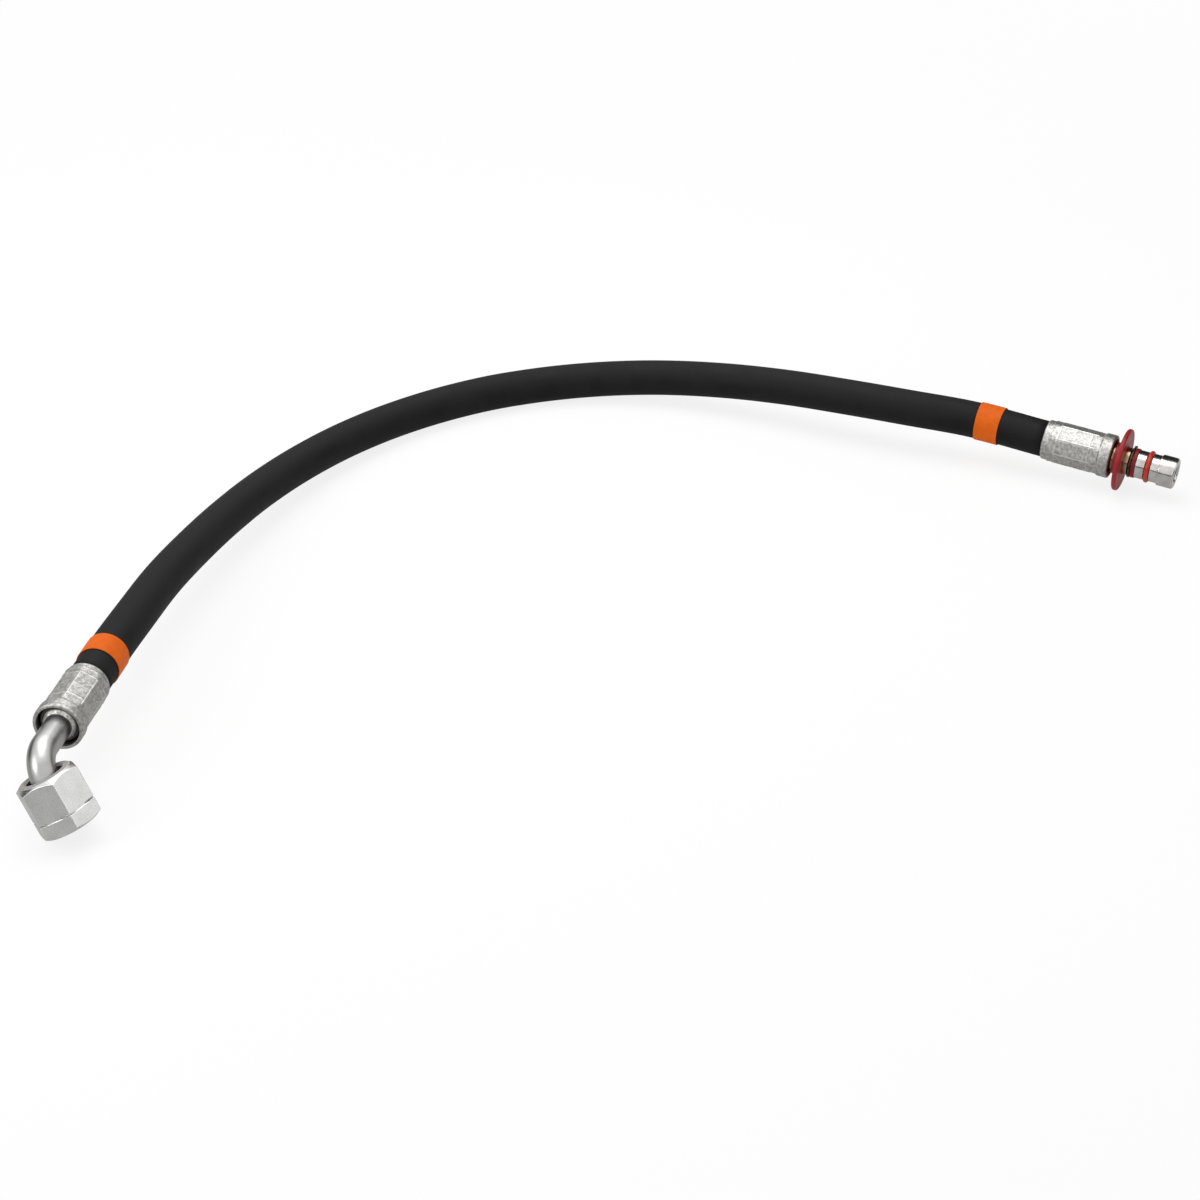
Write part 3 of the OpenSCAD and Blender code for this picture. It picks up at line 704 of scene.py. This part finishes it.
# painted shade: the colour darkens with the mark "dark", and the roughness rises with it
scale = marked(nut_satin, "dark")
bright = mix(nut_satin, spread(nut_satin, marked(nut_satin, "edge"), 0, 0.7, 0.2, 1),
             tint(nut_satin, haze, (0.66, 0.66, 0.65), (0.76, 0.76, 0.75)), (0.85, 0.85, 0.84))
feed(nut_satin, satin_surface, "Base Color", mix(nut_satin, scale, bright, (0.42, 0.415, 0.4)))
feed(nut_satin, satin_surface, "Roughness",
     combine(nut_satin, "MAXIMUM", spread(nut_satin, fleck, 0.24, 0.36), scale))
bumped(nut_satin, satin_surface, fleck, 0.01 * mm)
shell("hexagon_nut", circles(along_nut, rows, radius, angle), "swivel_nut", "nut_satin",
      "swivel_nut", nut_satin, rows, edge=edge, dark=dark[:, None])


# Plug.
# One turned steel bar: barbs inside the hose, a neck tinted brown for the
# release disc, a groove for the clip ring and the stop ring, two lands with
# the seal's groove between, and the bright tip that guides it home.
clip_start, clip_end = 52.9, 57.85
seal_start, seal_end = 63.15, 66.75
tip_start, plug_end = 71.45, 81.45
neck_r, clip_floor_r, seal_floor_r, land_r, tip_r = 8.3, 7.3, 6.85, 8.55, 9.5
tip_chamfer, end_chamfer = 0.4, 0.8
plug_steel, plug_surface = turned_metal("plug_steel", (0.46, 0.44, 0.41), (0.68, 0.67, 0.65), 0.18)
down_plug = add(plug_steel, "SeparateXYZ", {"Vector": wrapped(plug_steel, (1, 1, 1))}).outputs["Y"]
# brown tint on the neck and on all of the bar before the clip groove
on_neck = spread(plug_steel, down_plug, 1, 0, (clip_start - 0.3) * mm, clip_start * mm)
untinted = plug_surface.inputs["Base Color"].links[0].from_socket
feed(plug_steel, plug_surface, "Base Color", mix(plug_steel, on_neck, untinted, (0.36, 0.25, 0.15)))
turned("plug_bar", "plug_body", along_plug,
       tail_outside + [(collar_end, neck_r), (clip_start, neck_r), (clip_start, clip_floor_r),
                       (clip_end, clip_floor_r), (clip_end, land_r), (seal_start, land_r),
                       (seal_start, seal_floor_r), (seal_end, seal_floor_r), (seal_end, land_r),
                       (tip_start, land_r), (tip_start, tip_r - tip_chamfer),
                       (tip_start + tip_chamfer, tip_r), (plug_end - end_chamfer, tip_r),
                       (plug_end, tip_r - end_chamfer), (plug_end, tail_bore_r + end_chamfer),
                       (plug_end - end_chamfer, tail_bore_r)],
       0.18, 128, "plug_steel", plug_steel)


# Release disc.
# Moulded red plastic, free to slide on the neck: pushed towards the socket,
# its face spreads the clip ring and lets the plug out.
disc_start, disc_end, disc_r, disc_bore_r = 47, 50, 19, 8.55
hub_start, hub_r = 43.8, 9.6
disc_red, red_surface = finish("disc_red", (0.39, 0.018, 0.022), 0.4, specular=0.3)
clouded(disc_red, red_surface, noise(disc_red, 140, 5),
        ((0.33, 0.017, 0.021), (0.43, 0.026, 0.032)), (0.3, 0.48))
bumped(disc_red, red_surface, noise(disc_red, 900, 3), 0.02 * mm)
turned("push_disc", "release_disc", along_plug,
       [(hub_start, disc_bore_r), (hub_start, hub_r), (disc_start, hub_r), (disc_start, disc_r),
        (disc_end, disc_r), (disc_end, disc_bore_r)],
       [0.3, 0.3, 0.2, 1.45, 1.45, 0.3], 160, "disc_plastic", disc_red, "release_disc", 9)


# Clip ring.
# Round spring wire, blackened, bent to an open ring with both ends turned
# out. It springs into the socket's groove and holds the plug there.
wire_r = 0.9
ring_mid_r = 8.5
ring_play = 0.35
gap_middle, gap = radians(127), radians(36)
end_reach, end_bend = 1.6, 0.9
wire_at = clip_start + ring_play + wire_r
arc_len = ring_mid_r * (2 * pi - gap) - 2 * end_bend
wire_len = arc_len + 2 * (end_bend * pi / 2 + end_reach - end_bend)
wire_black, black_surface = finish("wire_black", (0.03, 0.028, 0.027), 0.35, 1.0)
clouded(wire_black, black_surface, noise(wire_black, 500, 4),
        ((0.035, 0.022, 0.014), (0.16, 0.1, 0.06)), (0.3, 0.5))


def clip_line(s):
    """The wire's centre at distances s, in mm.

    It is an arc round the plug with, at each end, a short quarter bend and a
    straight run outwards. The wire's first square direction lies in the
    ring's plane, and its second along the plug.
    """
    s = np.asarray(s, float)
    side = np.sign(s - wire_len / 2)
    left = np.abs(s - wire_len / 2)
    bend = np.clip((left - arc_len / 2) / end_bend, 0, pi / 2)
    out = np.maximum(left - arc_len / 2 - end_bend * pi / 2, 0)
    turn = gap_middle + pi + side * np.minimum(left, arc_len / 2) / ring_mid_r
    outward = np.stack([np.cos(turn), np.sin(turn)], -1)
    round_it = side[:, None] * np.stack([-np.sin(turn), np.cos(turn)], -1)
    flat = (outward * (ring_mid_r + end_bend * (1 - np.cos(bend)) + out)[:, None]
            + round_it * (end_bend * np.sin(bend))[:, None])
    heading = side[:, None] * (np.cos(bend)[:, None] * round_it + np.sin(bend)[:, None] * outward)
    inward = np.stack([heading[:, 1], -heading[:, 0]], -1)
    start, first, second = along_plug(np.full(len(s), wire_at * mm))
    flat, inward = (v[:, :1] * first + v[:, 1:] * second for v in (flat, inward))
    return start + mm * flat, unit(inward), plug_way + 0 * first


point_r = 1e-6                               # closes the wire's ends
s = np.linspace(0, wire_len, 260)
from_end = np.minimum(np.minimum(s, wire_len - s) / (wire_r / 2), 1)
wire_walls = np.stack([s, mm * wire_r * np.sqrt(0.6 + 0.4 * (1 - (1 - from_end)**2))], -1)
wire_walls = np.concatenate([[[0, point_r]], wire_walls, [[wire_len, point_r]]])
shell("clip_wire", around(clip_line, wire_walls, 24), "snap_ring", "wire_black", "snap_ring",
      wire_black, wire_walls[:, 0] * mm)


# Stop ring.
# A dark red plastic ring that fills the groove beside the wire.
ring_start, ring_end, ring_bore_r, ring_r = 55.4, 57.5, 7.35, 9
stop_red, stop_surface = finish("stop_red", (0.26, 0.009, 0.01), 0.4, specular=0.3)
clouded(stop_red, stop_surface, noise(stop_red, 300, 4),
        ((0.22, 0.007, 0.008), (0.32, 0.012, 0.013)), (0.32, 0.5))
turned("stop_band", "stop_ring", along_plug,
       [(ring_start, ring_bore_r), (ring_start, ring_r), (ring_end, ring_r),
        (ring_end, ring_bore_r)],
       0.35, 128, "ring_dark_red", stop_red)


# Seal.
# A bright red rubber ring of round section, stretched into its groove.
seal_mid_r, seal_r, seal_at = 8.35, 1.45, 64.95
seal_red, seal_surface = finish("seal_red", (0.58, 0.03, 0.01), 0.32)
clouded(seal_red, seal_surface, noise(seal_red, 220, 5),
        ((0.52, 0.024, 0.008), (0.66, 0.045, 0.014)), (0.26, 0.42))
section = turns(40)[0]
seal_walls = mm * np.stack([seal_at + seal_r * np.cos(section),
                            seal_mid_r + seal_r * np.sin(section)], -1)
shell("seal_band", around(along_plug, seal_walls, 144), "seal_ring", "seal_red", "hose", seal_red,
      seal_walls[:, 0])


# Hose ends.
# Inside each ferrule the hose's four layers are squeezed on the barbs; they
# keep the solids' shape, and only their finish is set here.
for node, look in (("cover_ends", cover_black), ("outer_braid_ends", braid_wire),
                   ("inner_braid_ends", braid_wire), ("liner_ends", liner_black)):
    solid = frame["nodes"][node]
    solid.data.materials.clear()
    solid.data.materials.append(look)


# Floor.
# White paper under the part. The camera sees it close to white, with the part's
# soft shadow on it, and pure white far off, where it meets the background. The
# metal sees it a little greyer, and from below it is clear.
reach = 6
near, far = 0.7, 2.5                         # between them the paper turns pure white
near_share, far_share = 0.78, 1              # how much of what is seen is the paper's own glow
seen_by_metal, seen_by_eye = 0.52, 1.065     # how strong that glow is
paper = bpy.data.meshes.new("paper")
paper.from_pydata([(-reach, -reach, 0), (reach, -reach, 0), (reach, reach, 0), (-reach, reach, 0)],
                  [], [(0, 1, 2, 3)])
floor = bpy.data.objects.new("paper", paper)
floor.location.z = -0.2 * mm
bpy.context.scene.collection.objects.link(floor)
paper_white, paper_surface = finish("paper_white", (0.86, 0.86, 0.86), 0.9)
ray = add(paper_white, "LightPath").outputs
middle = add(paper_white, "TexCoord").outputs["Object"]
away = add(paper_white, "VectorMath", {0: middle}, operation="LENGTH").outputs["Value"]
share = combine(paper_white, "MULTIPLY",
                combine(paper_white, "MAXIMUM", ray["Is Camera Ray"], ray["Is Glossy Ray"]),
                spread(paper_white, away, near_share, far_share, near, far))
level = spread(paper_white, ray["Is Camera Ray"], seen_by_metal, seen_by_eye, 0, 1)
glow = add(paper_white, "Emission", {"Color": (1, 1, 1, 1), "Strength": level})
above = add(paper_white, "MixShader", {0: share, 1: paper_surface.outputs["BSDF"],
                                       2: glow.outputs["Emission"]})
clear = add(paper_white, "BsdfTransparent")
sided = add(paper_white, "MixShader", {0: add(paper_white, "NewGeometry").outputs["Backfacing"],
                                       1: above.outputs["Shader"], 2: clear.outputs["BSDF"]})
feed(paper_white, paper_white.node_tree.nodes["Material Output"], "Surface",
     sided.outputs["Shader"])
paper.materials.append(paper_white)


# Studio.
# A wide soft box overhead, a smaller one from the left, and dark flags that
# the bright metal reflects, one of them leaning over the plug. A pale world
# fills in, bright all round but for the low part behind the hose.
def soft_box(name, place, aim, width, power):
    """A square area light at place, turned to face aim."""
    light = bpy.data.lights.new(name, "AREA")
    light.shape, light.size, light.energy = "SQUARE", width, power
    box = bpy.data.objects.new(name, light)
    box.location = place
    x, y, z = np.array(place, float) - np.array(aim, float)
    box.rotation_euler = (np.arctan2(np.hypot(x, y), z), 0, np.arctan2(x, -y))
    bpy.context.scene.collection.objects.link(box)


soft_box("overhead", (-0.15, 0.35, 1.3), aim=(0, 0.05, 0), width=1.1, power=9.5)
soft_box("left", (-1.3, -0.7, 0.9), aim=(0, 0, 0), width=0.7, power=5.0)

# name, x and y of the foot, width, height, and how far out the top is as a share of the foot
flags = (("flag_left", -1.1, 0.3, 1.2, 0.5, 1), ("flag_right", 1.2, -0.6, 1.2, 0.22, 1),
         ("flag_front", -0.1, -1.7, 2.6, 0.34, 1), ("flag_back", 0.38, 0.34, 0.35, 0.4, 0.9))
foot_height = 0.02
flag_black = finish("flag_black", (0.02, 0.02, 0.02), 1)[0]
for name, x, y, width, height, lean in flags:
    sheet = bpy.data.meshes.new(name)
    half = np.array((-y, x, 0)) / np.hypot(x, y) * width / 2
    foot, top = np.array((x, y, foot_height)), np.array((x * lean, y * lean, height))
    corners = (foot - half, foot + half, top + half, top - half)
    sheet.from_pydata([tuple(corner) for corner in corners], [], [(0, 1, 2, 3)])
    sheet.materials.append(flag_black)
    flag = bpy.data.objects.new(name, sheet)
    bpy.context.scene.collection.objects.link(flag)
    flag.visible_camera = flag.visible_diffuse = flag.visible_shadow = False

fill = 0.4                                   # the world's strength as soft light
brightest, darkest = 1.1, 0.25               # its strength in reflections
world = bpy.data.worlds.new("studio")
world.use_nodes = True
bpy.context.scene.world = world
ray = add(world, "LightPath").outputs
direct = combine(world, "MAXIMUM", ray["Is Camera Ray"], ray["Is Glossy Ray"])
direct = combine(world, "MAXIMUM", direct, ray["Is Transmission Ray"])
way = add(world, "SeparateXYZ", {"Vector": add(world, "TexCoord").outputs["Generated"]}).outputs
low_behind = combine(world, "SUBTRACT", way["Y"], way["Z"])
reflected = spread(world, low_behind, brightest, darkest)
reflected = combine(world, "MAXIMUM", reflected, ray["Is Camera Ray"])
air = world.node_tree.nodes["Background"]
air.inputs["Color"].default_value = (1, 1, 1, 1)
feed(world, air, "Strength", spread(world, direct, fill, reflected, 0, 1))

bpy.context.scene.view_settings.view_transform = "Standard"
